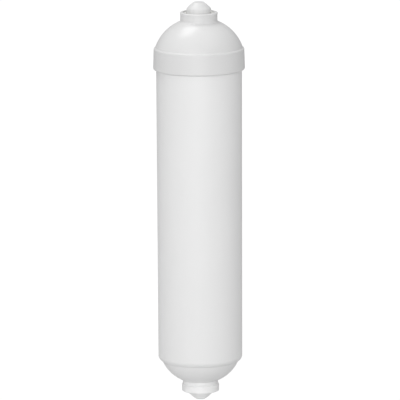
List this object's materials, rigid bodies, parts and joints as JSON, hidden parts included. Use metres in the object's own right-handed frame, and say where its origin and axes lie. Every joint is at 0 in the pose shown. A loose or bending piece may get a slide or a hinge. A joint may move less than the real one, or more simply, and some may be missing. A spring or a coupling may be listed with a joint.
{
  "type": "inline water filter",
  "caption": "Long white cylindrical water filter cartridge with domed ends, a skirted welded cap, push-fit tube ports and pull-out transport plugs.",
  "frame": {"origin": "middle of the filter's length, on its axis", "axes": "+Z along the axis towards the inlet cap; X and Y lie across the round body, with no preferred direction"},
  "size_m": [0.0576, 0.0576, 0.254],
  "materials": {
    "housing_polypropylene": "moulded satin white",
    "plug_polyethylene": "moulded, soft sheen, near white",
    "collet_acetal": "moulded, smooth, off white",
    "stainless_steel": "pressed strip, bright",
    "grey_acetal": "moulded, smooth, mid grey",
    "epdm_rubber": "moulded, dull black",
    "grid_polypropylene": "moulded, natural white",
    "polyurethane_foam": "open-cell, light grey",
    "needled_felt": "needled fibre, off white",
    "activated_carbon": "loose black granules",
    "sintered_polyethylene": "porous, sintered beads, white"
  },
  "bodies": {
    "housing": {"body": "housing_polypropylene", "inlet_cap": "housing_polypropylene", "inlet_retainer": "collet_acetal", "outlet_retainer": "collet_acetal", "inlet_spacer": "grey_acetal", "outlet_spacer": "grey_acetal", "inlet_o_ring": "epdm_rubber", "outlet_o_ring": "epdm_rubber", "inlet_grid": "grid_polypropylene", "foam_pad": "polyurethane_foam", "inlet_felt": "needled_felt", "carbon_bed": "activated_carbon", "outlet_felt": "needled_felt", "fines_disc": "sintered_polyethylene", "outlet_grid": "grid_polypropylene"},
    "inlet_plug": {"inlet_plug": "plug_polyethylene"},
    "outlet_plug": {"outlet_plug": "plug_polyethylene"},
    "inlet_collet": {"inlet_collet": "collet_acetal", "inlet_teeth": "stainless_steel"},
    "outlet_collet": {"outlet_collet": "collet_acetal", "outlet_teeth": "stainless_steel"}
  },
  "joints": [
    {"name": "inlet_plug_pull", "type": "slide", "parent": "housing", "child": "inlet_plug", "axis": [0, 0, 1], "range_m": [0, 0.03]},
    {"name": "outlet_plug_pull", "type": "slide", "parent": "housing", "child": "outlet_plug", "axis": [0, 0, -1], "range_m": [0, 0.03]},
    {"name": "inlet_collet_press", "type": "slide", "parent": "housing", "child": "inlet_collet", "axis": [0, 0, -1], "range_m": [0, 0.0012]},
    {"name": "outlet_collet_press", "type": "slide", "parent": "housing", "child": "outlet_collet", "axis": [0, 0, 1], "range_m": [0, 0.0012]}
  ]
}
